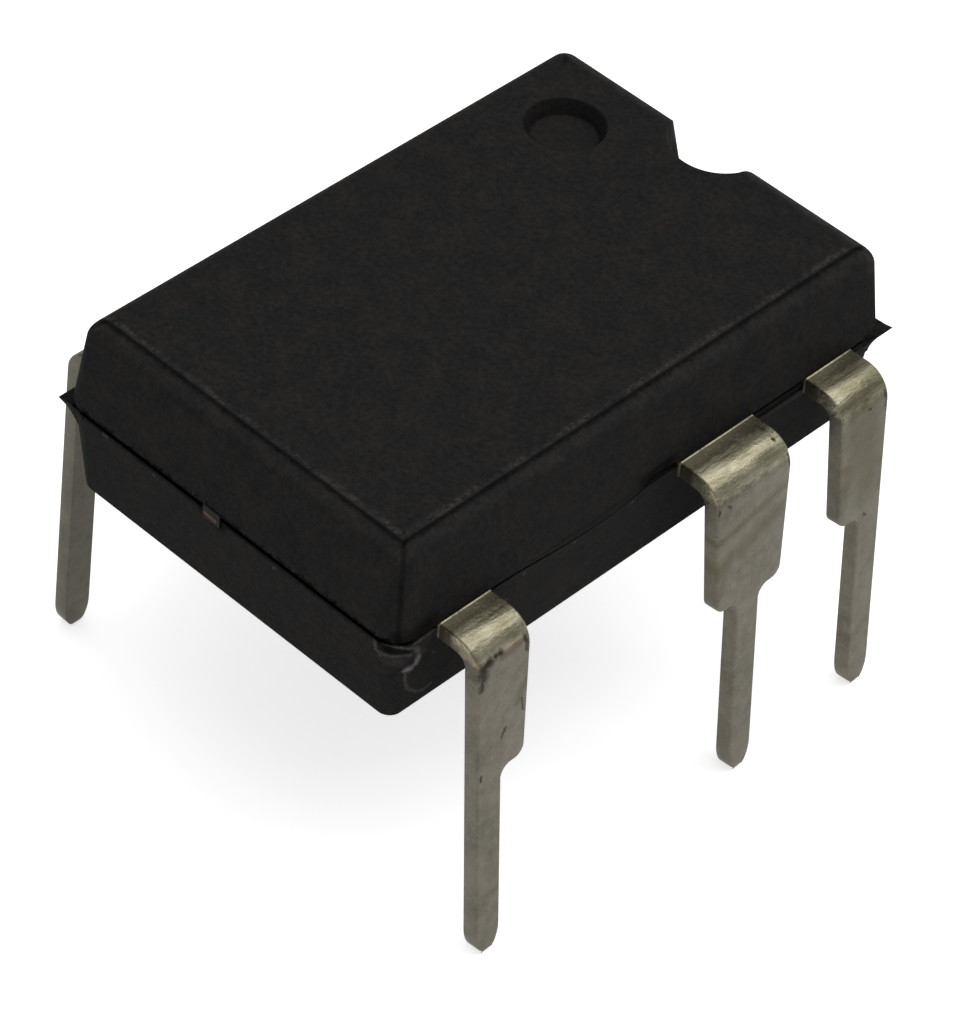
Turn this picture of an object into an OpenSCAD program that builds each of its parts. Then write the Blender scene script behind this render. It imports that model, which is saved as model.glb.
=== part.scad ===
// Seven-lead dual in-line chip in a moulded epoxy body, place 6 of its eight left empty.
// X runs across the two lead rows, Y runs along the body with the notched end at +Y, Z is up.
// The origin is the centre of the lead pattern on the board face that the lead shoulders stand on.
// Leads 1 to 4 run down the -X side from the notch, lead 5 starts the +X side at the other end.

/* [Body] */
// Length of the body at its parting line
body_l = 9.58; // [9.4:0.01:10.5]
// Width of the body at its parting line
body_w = 6.33; // [6.1:0.01:6.6]
// Height of the upper half above the parting line
upper_h = 1.37; // [1.2:0.01:2]
// Height of the lower half below the parting line
lower_h = 1.6; // [1.3:0.01:2]
// Draft of the upper half's walls in degrees
upper_draft = 8.5; // [3:0.5:10]
// Draft of the lower half's walls in degrees
lower_draft = 6; // [3:0.5:10]
// Radius of the upright corners at the parting line
corner_r = 0.36; // [0.3:0.01:0.6]
// Radius of the edges round the top face
top_r = 0.29; // [0.1:0.01:0.35]
// Radius of the edges round the underside
bottom_r = 0.1; // [0.05:0.01:0.2]
// Overhang of the upper half past the lower one, all round
ledge = 0.025; // [0:0.005:0.05]

/* [Moulded marks] */
// Radius of the end notch at the top face
notch_r = 0.74; // [0.6:0.01:0.95]
// Distance of the notch from the body's middle plane, towards leads 1 to 4
notch_side = 0.05; // [0:0.01:0.1]
// Distance of the notch's middle inside the end of the parting line
notch_in = 0.14; // [0:0.01:0.2]
// Draft of the notch's walls in degrees
notch_draft = 12; // [5:0.5:15]
// Radius of the notch's upright lips
lip_r = 0.26; // [0.05:0.01:0.3]
// Thickness of body left under the end notch, above the parting line
notch_floor = 0.3; // [0.1:0.01:0.6]
// Diameter of the lead 1 dimple at its rim
dimple_d = 1.18; // [0.8:0.01:1.5]
// Diameter of the lead 1 dimple at its floor
dimple_floor_d = 0.98; // [0.6:0.01:1.4]
// Depth of the lead 1 dimple
dimple_depth = 0.23; // [0.1:0.01:0.4]
// Distance from the body's long side to the middle of the dimple
dimple_side = 1.49; // [1.2:0.01:1.8]
// Distance from the notched end to the middle of the dimple
dimple_end = 1.56; // [1.3:0.01:2]
// Reach of the flash ear beside lead 8 past the lower half's side
ear_reach = 0.13; // [0.03:0.01:0.15]
// Height over which it sweeps in to the lower half's corner
ear_h = 0.45; // [0.3:0.01:0.6]
// Reach of the flash ear beside lead 4 past the lower half's side
near_ear_reach = 0.09; // [0.03:0.01:0.1]
// Height over which it sweeps in to the lower half's corner
near_ear_h = 0.6; // [0.3:0.01:0.8]
// Drop of the flash ear beside lead 4 below the parting line
near_ear_drop = 0.05; // [0:0.01:0.1]
// Length of both flash ears along the body's sides
ear_l = 0.5; // [0.4:0.01:0.9]
// Diameter of the ejector pin marks in the underside
ejector_d = 1.3; // [0.8:0.05:1.6]
// Depth of the ejector pin marks
ejector_depth = 0.06; // [0.02:0.01:0.1]
// Distance between the two ejector pin marks
ejector_spacing = 5.6; // [4:0.1:6]

/* [Leads] */
// Distance between neighbouring lead places
pitch = 2.54; // [2.5:0.01:2.6]
// Distance between the outer faces of the two rows at the parting line
row_w = 7.78; // [7.7:0.01:8]
// Thickness of the lead frame
lead_t = 0.25; // [0.2:0.01:0.3]
// Width of a full shoulder where it leaves the body
shoulder_w = 1.48; // [1.3:0.01:1.6]
// Width of a full shoulder just above the board
shoulder_low_w = 1.3; // [1.1:0.01:1.4]
// Radius of the shoulder's lower corners and of the fillets beside them
shoulder_r = 0.12; // [0.05:0.01:0.15]
// Width of the narrow lower part of a lead
narrow_w = 0.45; // [0.4:0.01:0.55]
// Inner radius of the bend beside the body
bend_r = 0.19; // [0.15:0.01:0.22]
// Outward lean of the +X row in degrees
splay_right = 5.5; // [0:0.5:8]
// Outward lean of the -X row in degrees
splay_left = 2.3; // [0:0.1:8]
// Height of the parting line above the board
seat_h = 2.28; // [2.2:0.01:2.6]
// Length of the leads below the board's face
below_board = 3.2; // [2.9:0.01:3.8]
// Length of the rounded tip
tip_l = 0.42; // [0.3:0.01:0.6]
// Length over which the tip is also pressed thinner
nose_l = 0.12; // [0.05:0.01:0.2]
// Thickness left at the very end of the tip
nose_t = 0.13; // [0.05:0.01:0.18]

/* [Inside] */
// Length of the die paddle
paddle_l = 4.9; // [4.5:0.05:5.1]
// Width of the die paddle
paddle_w = 3; // [2.7:0.05:3.1]
// Distance of the paddle's middle from the body's middle plane, towards leads 7 and 8
paddle_x = 0.25; // [0.2:0.01:0.3]
// Distance of the paddle's middle from the body's middle, towards the notched end
paddle_y = 0.1; // [0:0.01:0.15]
// Depth by which the paddle lies below the leads
downset = 0.2; // [0.1:0.01:0.3]
// Run of the sloping straps that lead down to the paddle
slope_run = 0.3; // [0.25:0.01:0.35]
// Width of the tie bars
tie_w = 0.32; // [0.2:0.01:0.4]
// Distance of the tie bars from the body's middle plane
tie_side = 0.28; // [0.2:0.01:0.35]
// Gap between the paddle's side and the tips of leads 2 and 3
finger_gap = 0.25; // [0.2:0.01:0.35]
// Gap between the paddle's ends and the tips of leads 1, 4 and 5
end_gap = 0.3; // [0.25:0.01:0.35]
// Width of the tips of leads 1, 4 and 5 inside the body
finger_w = 0.32; // [0.28:0.01:0.4]
// Gap between the tie bars and the tips of leads 1 and 4
tie_gap = 0.3; // [0.2:0.01:0.4]
// Distance of lead 5's inner tip from the body's middle plane
right_end_tip = 0.4; // [0.3:0.01:0.5]
// Diameter of the holes through which the body locks the leads
lock_d = 0.5; // [0.3:0.01:0.55]
// Distance of the lock holes inside the body's long sides
lock_side = 0.6; // [0.5:0.01:0.7]
// Length of the die
die_l = 2.9; // [2.5:0.05:3.1]
// Width of the die
die_w = 2; // [1.8:0.05:2.1]
// Thickness of the die
die_t = 0.28; // [0.2:0.01:0.35]
// Thickness of the adhesive under the die
attach_t = 0.03; // [0.02:0.01:0.05]
// Margin of the adhesive round the die
attach_edge = 0.08; // [0.05:0.01:0.12]
// Diameter of a bond wire
wire_d = 0.05; // [0.03:0.005:0.06]
// Height of the upright start of each bond wire above the die
wire_rise = 0.17; // [0.14:0.01:0.25]
// Radius at which a bond wire turns over
wire_bend_r = 0.08; // [0.06:0.01:0.1]
// Diameter of the ball at the start of a bond wire
ball_d = 0.11; // [0.1:0.01:0.13]
// Thickness of the balls and of the flattened far ends
ball_t = 0.03; // [0.02:0.005:0.04]
// Distance of the bond pads from the die's edges
pad_edge = 0.2; // [0.12:0.01:0.25]
// Distance of the wires' far ends from the tips of the leads
land_edge = 0.18; // [0.14:0.01:0.25]
// Distance between the two wires of a pair
pair = 0.35; // [0.25:0.01:0.4]

/* [Hidden] */

$fn = 64;
// Flats in small arcs, in each upright corner, round the notch and in the leads' bends
arc_steps = 6;
corner_steps = 8;
notch_steps = 28;
bend_steps = 9;
// Flats in the turn of a wire and round a wire
wire_steps = 5;
wire_sides = 8;
// Smallest radius that the upright corners shrink to at the top face
least_corner_r = 0.12;
// Thickness of the slices between which an ear is drawn
slice = 0.01;
// Part of a right angle that a tip's outline turns through, in degrees
tip_turn = 78;

body_top = seat_h + upper_h;
body_bottom = seat_h - lower_h;
frame_bottom = seat_h - lead_t;
paddle_top = seat_h - downset;
die_top = paddle_top + attach_t + die_t;
paddle_left = paddle_x - paddle_w / 2;
paddle_right = paddle_x + paddle_w / 2;
paddle_near = paddle_y - paddle_l / 2;
paddle_far = paddle_y + paddle_l / 2;
bend_outer_r = bend_r + lead_t;
// How far past the body the cutting blocks reach
over = 1;
// Where each lead stands along Y, counted in pitches from the middle
row_places = [1.5, 0.5, -0.5, -1.5];

module tin() {
    color([0.6, 0.58, 0.5]) children();
}

// Points of an arc, for outlines that are extruded
function arc(centre, r, from, to, steps = arc_steps) =
    [for (i = [0:steps]) let (a = from + (to - from) * i / steps) centre + r * [cos(a), sin(a)]];

// Body

// One closed skin through rings that all have the same number of points
module skin(rings) {
    n = len(rings[0]);
    last = len(rings) - 1;
    sides = [for (i = [0:last - 1], k = [0:n - 1])
        let (a = i * n + k, b = i * n + (k + 1) % n)
            each [[a, a + n, b], [b, a + n, b + n]]];
    polyhedron([for (ring = rings) each ring], concat(
        sides,
        [[for (k = [0:n - 1]) k]],
        [[for (k = [n - 1:-1:0]) last * n + k]]
    ));
}

// Inset and height along the wall of a half, up its draft and round its edge
function wall_levels(height, draft, edge_r) =
    let (middle = height * tan(draft) + edge_r * (1 - sin(draft)) / cos(draft))
        concat([[0, 0]], [for (p = arc([middle, height - edge_r], edge_r, 180 - draft, 90)) p]);

// Outline of a half at one level, a rectangle with round corners
function body_ring(l, w, inset, z) =
    let (r = max(corner_r - inset, least_corner_r), x = w / 2 - inset - r, y = l / 2 - inset - r)
    [for (q = [0:3], i = [0:corner_steps])
        let (a = 90 * (q + i / corner_steps))
            [(q == 0 || q == 3 ? x : -x) + r * cos(a), (q < 2 ? y : -y) + r * sin(a), z]];

// One drafted half, built up from the parting line
module body_half(l, w, height, draft, edge_r) {
    skin([for (p = wall_levels(height, draft, edge_r)) body_ring(l, w, p[0], p[1])]);
}

// A slice of an ear at +X +Y, pulled in towards the body as it goes down
module ear_slice(reach, pull, depth) {
    side = body_w / 2 - ledge - pull;
    end = body_l / 2 - ledge - pull;
    root = corner_r - pull;
    translate([0, 0, seat_h - depth - slice])
        linear_extrude(slice)
            polygon([
                [side - root, end - root],
                [side - root, end],
                [side + reach, end + reach / 3],
                [side + reach, end - ear_l / 2],
                [side, end - ear_l]
            ]);
}

// A sharp corner of flash that passes the round corner at +X +Y and sweeps in below
module ear(reach, height, drop, sweep) {
    for (i = [0:2])
        hull() {
            ear_slice(reach, reach * sweep[i][0], drop + height * sweep[i][1]);
            ear_slice(reach, reach * sweep[i + 1][0], drop + height * sweep[i + 1][1]);
        }
}

// Shares of the reach and of the height at which the slices of each ear stand
EAR_SWEEP = [[0, 0], [0.65, 0.25], [1.15, 0.55], [1.6, 1]];
NEAR_EAR_SWEEP = [[0, 0], [1.2, 0.33], [2.3, 0.7], [3.2, 1]];

module outer_body() {
    translate([0, 0, seat_h]) body_half(body_l, body_w, upper_h, upper_draft, top_r);
    translate([0, 0, seat_h]) mirror([0, 0, 1])
        body_half(body_l - 2 * ledge, body_w - 2 * ledge, lower_h, lower_draft, bottom_r);
    ear(ear_reach, ear_h, 0, EAR_SWEEP);
    rotate([0, 0, 180]) ear(near_ear_reach, near_ear_h, near_ear_drop, NEAR_EAR_SWEEP);
}

// Plan of the notch at a height above the parting line: it widens upwards by its own draft, and its
// lips are arcs that touch both the notch and the leaning end wall
function notch_ring(height) =
    let (
        r = notch_r - (upper_h - height) * tan(notch_draft),
        wall = body_l / 2 - height * tan(upper_draft),
        middle = body_l / 2 - notch_in,
        rise = middle - (wall - lip_r),
        lip_x = sqrt((r + lip_r) * (r + lip_r) - rise * rise),
        meet = atan2(rise, lip_x),
        out = body_l / 2 + over
    )
    [for (p = concat(
        [[lip_x, out], [-lip_x, out]],
        arc([-lip_x, wall - lip_r], lip_r, 90, meet),
        arc([0, middle], r, 180 + meet, 360 - meet, notch_steps),
        arc([lip_x, wall - lip_r], lip_r, 180 - meet, 90)
    )) [p[0] - notch_side, p[1], seat_h + height]];

module notch_cut() {
    skin([notch_ring(notch_floor), notch_ring(upper_h + lip_r)]);
}

module dimple_cut() {
    translate([dimple_side - body_w / 2, body_l / 2 - dimple_end, body_top - dimple_depth])
        cylinder(h = dimple_depth, d1 = dimple_floor_d, d2 = dimple_d);
}

module ejector_cuts() {
    for (y = [-1, 1])
        translate([0, y * ejector_spacing / 2, body_bottom - over])
            cylinder(h = ejector_depth + over, d = ejector_d);
}

module mould_body() {
    color([0.14, 0.135, 0.14])
        difference() {
            outer_body();
            notch_cut();
            dimple_cut();
            ejector_cuts();
            for (place = [1:5]) lead(place);
            paddle_and_leads_7_8();
            die_attach();
            die();
            for (i = [0:len(WIRES) - 1]) bond_wire(i);
        }
}

// Leads

// Side section of a lead, x outwards and y up, from its start inside the body over the bend to the tip
module lead_side_section(splay, start) {
    bend = [row_w / 2 - bend_outer_r * (1 - sin(splay)) / cos(splay), seat_h - bend_outer_r];
    leg = (bend[1] + (bend_r + lead_t / 2) * sin(splay) + below_board) / cos(splay);
    across = [cos(splay), sin(splay)];
    down = [sin(splay), -cos(splay)];
    polygon(concat(
        [[start, frame_bottom], [start, seat_h]],
        arc(bend, bend_outer_r, 90, splay, bend_steps),
        [
            bend + across * bend_outer_r + down * (leg - nose_l),
            bend + across * (bend_r + lead_t / 2 + nose_t / 2) + down * leg,
            bend + across * (bend_r + lead_t / 2 - nose_t / 2) + down * leg,
            bend + across * bend_r + down * (leg - nose_l)
        ],
        arc(bend, bend_r, splay, 90, bend_steps)
    ));
}

// Upright outline of a lead seen from its row, x along the row and y up.
// low and high say on which side of the lead the shoulder stands.
function tip_points(side) =
    [for (i = [0:arc_steps]) let (a = tip_turn * i / arc_steps)
        [side * narrow_w / 2 * cos(a), tip_l - below_board - tip_l * sin(a) / sin(tip_turn)]];

function shoulder_points(side) = [
    [side * shoulder_w / 2, seat_h + over],
    [side * shoulder_w / 2, seat_h - bend_outer_r],
    for (p = arc([shoulder_low_w / 2 - shoulder_r, shoulder_r], shoulder_r, 0, -90)) [side * p[0], p[1]],
    for (p = arc([narrow_w / 2 + shoulder_r, -shoulder_r], shoulder_r, 90, 180)) [side * p[0], p[1]]
];

function side_points(side, has_shoulder) = concat(
    has_shoulder ? shoulder_points(side) : [[side * narrow_w / 2, seat_h + over]],
    tip_points(side)
);

function reversed(list) = [for (i = [len(list) - 1:-1:0]) list[i]];

module lead_front_outline(low, high) {
    polygon(concat(side_points(1, high), reversed(side_points(-1, low))));
}

// The bent part of a lead outside the body at +X, standing at y
module outer_lead(y, splay, low, high) {
    intersection() {
        translate([0, y, 0]) rotate([90, 0, 0])
            linear_extrude(shoulder_w + over, center = true) lead_side_section(splay, body_w / 2 - lock_side);
        translate([0, y, 0]) rotate([90, 0, 90]) linear_extrude(row_w) lead_front_outline(low, high);
    }
}

// Flat plate of the lead frame with a given outline
module frame_plate(points) {
    translate([0, 0, frame_bottom]) linear_extrude(lead_t) polygon(points);
}

module lock_hole(y) {
    translate([body_w / 2 - lock_side, y, frame_bottom - over]) cylinder(h = lead_t + 2 * over, d = lock_d);
}

// Inner finger of a lead in the middle of a row, straight in towards the paddle's side
module middle_finger(y, tip_x) {
    frame_plate([
        [body_w / 2, y - shoulder_w / 2], [body_w / 2, y + shoulder_w / 2],
        [body_w / 2 - 2 * lock_side, y + shoulder_w / 2], [tip_x, y + shoulder_w / 3],
        [tip_x, y - shoulder_w / 3], [body_w / 2 - 2 * lock_side, y - shoulder_w / 2]
    ]);
}

// Inner finger of a lead at the end of a row, which turns in along the paddle's end.
// way is 1 at the +Y end and -1 at the -Y end.
module end_finger(way, paddle_end, tip_x) {
    y = way * row_places[0] * pitch;
    outer = y + way * narrow_w / 2;
    inner = y - way * shoulder_w / 2;
    reach = paddle_end + way * end_gap;
    frame_plate([
        [body_w / 2, inner], [body_w / 2, outer], [body_w / 2 - 2 * lock_side, outer],
        [tip_x, reach + way * finger_w], [tip_x, reach],
        [tip_x + shoulder_w / 2, reach], [body_w / 2 - 2 * lock_side, inner]
    ]);
}

// Tips of the fingers, measured from the middle plane on each lead's own side
middle_tip = finger_gap - paddle_left;
left_end_tip = tie_side + tie_w / 2 + tie_gap;

// Leads 1 to 4 on the -X side and lead 5 at the near end of the +X side
module lead(place) {
    row = place < 5 ? place - 1 : 3;
    way = row == 0 ? 1 : -1;
    y = row_places[row] * pitch;
    is_end = row == 0 || row == 3;
    mirror([place < 5 ? 1 : 0, 0, 0])
        difference() {
            union() {
                outer_lead(y, place < 5 ? splay_left : splay_right, row != 3, row != 0);
                if (is_end)
                    end_finger(way, way > 0 ? paddle_far : paddle_near, place < 5 ? left_end_tip : right_end_tip);
                else
                    middle_finger(y, middle_tip);
            }
            lock_hole(y - way * (is_end ? (shoulder_w - narrow_w) / 4 : 0));
        }
}

module lead_1() { tin() lead(1); }
module lead_2() { tin() lead(2); }
module lead_3() { tin() lead(3); }
module lead_4() { tin() lead(4); }
module lead_5() { tin() lead(5); }

// Sloping strap between the paddle and the plane of the leads, drawn for a strap that rises towards +X
module slope(width) {
    rotate([90, 0, 0])
        linear_extrude(width, center = true)
            polygon([
                [0, frame_bottom - downset], [slope_run, frame_bottom],
                [slope_run, seat_h], [0, seat_h - downset]
            ]);
}

// Tie bar from the paddle's end to the body's end face, way 1 to +Y and -1 to -Y
module tie_bar(way, paddle_end) {
    translate([-tie_side, paddle_end, 0]) rotate([0, 0, way * 90]) slope(tie_w);
    frame_plate([
        [-tie_side - tie_w / 2, paddle_end + way * slope_run], [-tie_side + tie_w / 2, paddle_end + way * slope_run],
        [-tie_side + tie_w / 2, way * body_l / 2], [-tie_side - tie_w / 2, way * body_l / 2]
    ]);
}

// The paddle, its tie bars and leads 7 and 8, stamped as one piece
module paddle_and_leads_7_8() {
    strap_x = paddle_right + slope_run;
    y7 = row_places[1] * pitch;
    y8 = row_places[0] * pitch;
    tin() difference() {
        union() {
            translate([paddle_left, paddle_near, paddle_top - lead_t]) cube([paddle_w, paddle_l, lead_t]);
            translate([paddle_right, y7, 0]) slope(shoulder_w);
            tie_bar(1, paddle_far);
            tie_bar(-1, paddle_near);
            frame_plate([
                [body_w / 2, y7 - shoulder_w / 2], [body_w / 2, y7 + shoulder_w / 2],
                [body_w / 2 - lock_side, y7 + shoulder_w / 2], [body_w / 2 - lock_side, y8 - shoulder_w / 2],
                [body_w / 2, y8 - shoulder_w / 2], [body_w / 2, y8 + narrow_w / 2],
                [strap_x, y8 + narrow_w / 2], [strap_x, y7 - shoulder_w / 2]
            ]);
            outer_lead(y7, splay_right, true, true);
            outer_lead(y8, splay_right, true, false);
        }
        lock_hole(y7);
        lock_hole(y8 - (shoulder_w - narrow_w) / 4);
    }
}

// Die and adhesive

module block_on_paddle(w, l, bottom, height) {
    translate([paddle_x - w / 2, paddle_y - l / 2, bottom]) cube([w, l, height]);
}

module die_attach() {
    color([0.75, 0.75, 0.72])
        block_on_paddle(die_w + 2 * attach_edge, die_l + 2 * attach_edge, paddle_top, attach_t);
}

module die() {
    color([0.35, 0.37, 0.42]) block_on_paddle(die_w, die_l, paddle_top + attach_t, die_t);
}

// Bond wires

die_left = paddle_x - die_w / 2 + pad_edge;
die_right = paddle_x + die_w / 2 - pad_edge;
die_near = paddle_y - die_l / 2 + pad_edge;
die_far = paddle_y + die_l / 2 - pad_edge;
middle_land = -middle_tip - land_edge;
end_land_far = paddle_far + end_gap + land_edge;
end_land_near = paddle_near - end_gap - land_edge;
left_land = -left_end_tip - land_edge;
right_land = right_end_tip + land_edge;
// Each wire: its pad on the die, its far end, and the height of what it lands on
WIRES = [
    [[die_left, die_far], [left_land, end_land_far], seat_h],
    [[die_left, row_places[1] * pitch - pair], [middle_land, row_places[1] * pitch], seat_h],
    [[die_left, row_places[2] * pitch + pair], [middle_land, row_places[2] * pitch], seat_h],
    [[die_left, die_near], [left_land, end_land_near], seat_h],
    [[die_right - pair, die_near], [right_land, end_land_near], seat_h],
    [[die_right, die_near], [right_land + pair, end_land_near], seat_h],
    [[die_right, paddle_y], [paddle_right - land_edge, paddle_y], paddle_top],
    [[die_right, paddle_y - 2 * pair], [paddle_right - land_edge, paddle_y - 2 * pair], paddle_top]
];

// Height over which a ball narrows to its wire
ball_neck = 0.01;

// Fall of the straight stretch, found by repeating the tangent condition a few times
function fall(span, drop, guess, rounds) =
    rounds == 0 ? guess :
    fall(span, drop, atan((drop + wire_bend_r * cos(guess)) / (span - wire_bend_r * (1 + sin(guess)))), rounds - 1);

// Stations of a wire in the XZ plane, each [x, z, direction in degrees above +X, radius]:
// ball on the die, rise, turn, straight fall and flattened end
function wire_stations(span, land_z) =
    let (
        rise_top = die_top + wire_rise,
        land_top = land_z + ball_t,
        angle = fall(span - ball_d, rise_top - land_top - wire_d, 20, 5)
    ) concat(
        [
            [0, die_top, 90, ball_d / 2], [0, die_top + ball_t, 90, ball_d / 2],
            [0, die_top + ball_t + ball_neck, 90, wire_d / 2]
        ],
        [for (i = [0:wire_steps]) let (a = 90 - (90 + angle) * i / wire_steps)
            [wire_bend_r * (1 - sin(a)), rise_top + wire_bend_r * cos(a), a, wire_d / 2]],
        [
            [span - ball_d, land_top + wire_d, -angle, wire_d / 2],
            [span, land_top, -90, ball_d / 2], [span, land_z, -90, ball_d / 2]
        ]
    );

// Ring of points round a wire at one station
function wire_ring(s) =
    [for (k = [0:wire_sides - 1]) let (b = 360 * k / wire_sides)
        [s[0] + s[3] * cos(b) * sin(s[2]), s[3] * sin(b), s[1] - s[3] * cos(b) * cos(s[2])]];

module wire_in_plane(span, land_z) {
    skin([for (s = wire_stations(span, land_z)) wire_ring(s)]);
}

module bond_wire(i) {
    from = WIRES[i][0];
    way = WIRES[i][1] - from;
    color([0.85, 0.6, 0.35])
        translate([from[0], from[1], 0]) rotate([0, 0, atan2(way[1], way[0])])
            wire_in_plane(norm(way), WIRES[i][2]);
}

mould_body();
lead_1();
lead_2();
lead_3();
lead_4();
lead_5();
paddle_and_leads_7_8();
die_attach();
die();
bond_wire(0);  // bond_wire_1
bond_wire(1);  // bond_wire_2
bond_wire(2);  // bond_wire_3
bond_wire(3);  // bond_wire_4
bond_wire(4);  // bond_wire_5a
bond_wire(5);  // bond_wire_5b
bond_wire(6);  // ground_wire_a
bond_wire(7);  // ground_wire_b
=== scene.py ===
import math

import bmesh
import bpy
from mathutils import Matrix, Vector


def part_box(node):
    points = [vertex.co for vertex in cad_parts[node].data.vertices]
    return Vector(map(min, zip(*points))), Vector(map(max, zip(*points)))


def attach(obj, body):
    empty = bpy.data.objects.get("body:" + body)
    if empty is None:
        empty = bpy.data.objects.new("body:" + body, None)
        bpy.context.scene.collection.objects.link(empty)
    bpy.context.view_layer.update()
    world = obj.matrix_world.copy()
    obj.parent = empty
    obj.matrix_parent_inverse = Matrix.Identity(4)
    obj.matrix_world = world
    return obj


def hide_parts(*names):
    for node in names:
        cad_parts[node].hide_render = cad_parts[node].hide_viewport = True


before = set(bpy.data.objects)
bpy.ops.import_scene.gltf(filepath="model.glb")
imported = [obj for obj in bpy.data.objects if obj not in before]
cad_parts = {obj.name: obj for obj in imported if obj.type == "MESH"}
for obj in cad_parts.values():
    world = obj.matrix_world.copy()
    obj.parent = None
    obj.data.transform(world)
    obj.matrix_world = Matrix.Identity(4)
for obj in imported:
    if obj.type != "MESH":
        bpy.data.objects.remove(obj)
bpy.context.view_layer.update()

# Leads 1 to 5
# Each lead is stamped out of copper alloy strip, plated with tin, and formed down over an anvil
# beside the body. Its inner finger stays flat in the epoxy, which grips it through a round hole.
MM = 0.001
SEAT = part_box("lead_2")[1].z
LEAD_T = 0.25 * MM
FRAME_LOW = SEAT - LEAD_T
TIP_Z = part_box("lead_2")[0].z
ROW_W = 7.78 * MM
SIDE = 6.33 * MM / 2
PITCH = 2.54 * MM
SHOULDER = 1.48 * MM / 2
SHOULDER_LOW = 1.3 * MM / 2
SHOULDER_R = 0.18 * MM
NARROW = 0.45 * MM / 2
BEND_R = 0.19 * MM
BEND_OUTER_R = BEND_R + LEAD_T
BEND_STEPS = 14
TIP_L = 0.42 * MM
TIP_TURN = math.radians(86)
TIP_STEPS = 12
TIP_FULLNESS = 0.92
NOSE_L = 0.07 * MM
NOSE_SHARE = 0.75
SPLAY_RIGHT = math.radians(5.5)
SPLAY_LEFT = math.radians(2.3)
LOCK_IN = 0.6 * MM
LOCK_R = 0.25 * MM
FINGER_X = SIDE - 2 * LOCK_IN
ROLLED_EDGE = 0.035 * MM
BURR_EDGE = 0.014 * MM
BEAD_X = SIDE + 0.016 * MM
BEAD_R = 0.012 * MM


def start(add, name, **settings):
    """Adds a primitive under a piece's own name, with nothing else selected, and its place in its mesh."""
    bpy.ops.object.select_all(action="DESELECT")
    add(**settings)
    piece = bpy.context.object
    piece.name = piece.data.name = name
    bpy.ops.object.transform_apply(location=True, rotation=True, scale=True)
    return piece


def block(name, low, high):
    """A block between two corners, to be drawn out into a piece."""
    low, high = Vector(low), Vector(high)
    return start(bpy.ops.mesh.primitive_cube_add, name, size=1, location=(low + high) / 2, scale=high - low)


def pick(kind, test):
    """Selects the faces, edges or points of the piece in hand that pass a test of place or normal."""
    bpy.ops.mesh.select_mode(type=kind)
    bpy.ops.mesh.select_all(action="DESELECT")
    mesh = bmesh.from_edit_mesh(bpy.context.edit_object.data)
    mesh.normal_update()
    for part in {"FACE": mesh.faces, "EDGE": mesh.edges, "VERT": mesh.verts}[kind]:
        if test(part):
            part.select_set(True)
    mesh.select_flush_mode()
    bmesh.update_edit_mesh(bpy.context.edit_object.data)


def middle(edge):
    """Middle of an edge."""
    return (edge.verts[0].co + edge.verts[1].co) / 2


def is_sharp(edge, least=math.radians(40)):
    """True where an edge's two faces meet at more than the least angle."""
    return len(edge.link_faces) == 2 and edge.calc_face_angle() > least


def span(axis=1):
    """Lowest and highest place of what is selected, along one axis."""
    mesh = bmesh.from_edit_mesh(bpy.context.edit_object.data)
    places = [v.co[axis] for v in mesh.verts if v.select]
    return min(places), max(places)


def spread(low, high):
    """Gives the selected end face a new reach along Y."""
    now_low, now_high = span()
    now_middle = (now_low + now_high) / 2
    wider = (high - low) / (now_high - now_low)
    bpy.ops.transform.resize(value=(1, wider, 1), center_override=(0, now_middle, 0))
    bpy.ops.transform.translate(value=(0, (low + high) / 2 - now_middle, 0))


def draw(step, low, high):
    """Draws the end face out by a step, to a new reach along Y."""
    bpy.ops.mesh.extrude_region_move(TRANSFORM_OT_translate={"value": step})
    spread(low, high)


def cut_across(where, normal, faces):
    """Cuts the chosen faces with a plane."""
    pick("FACE", faces)
    bpy.ops.mesh.bisect(plane_co=where, plane_no=normal, threshold=MM / 10000)


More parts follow.
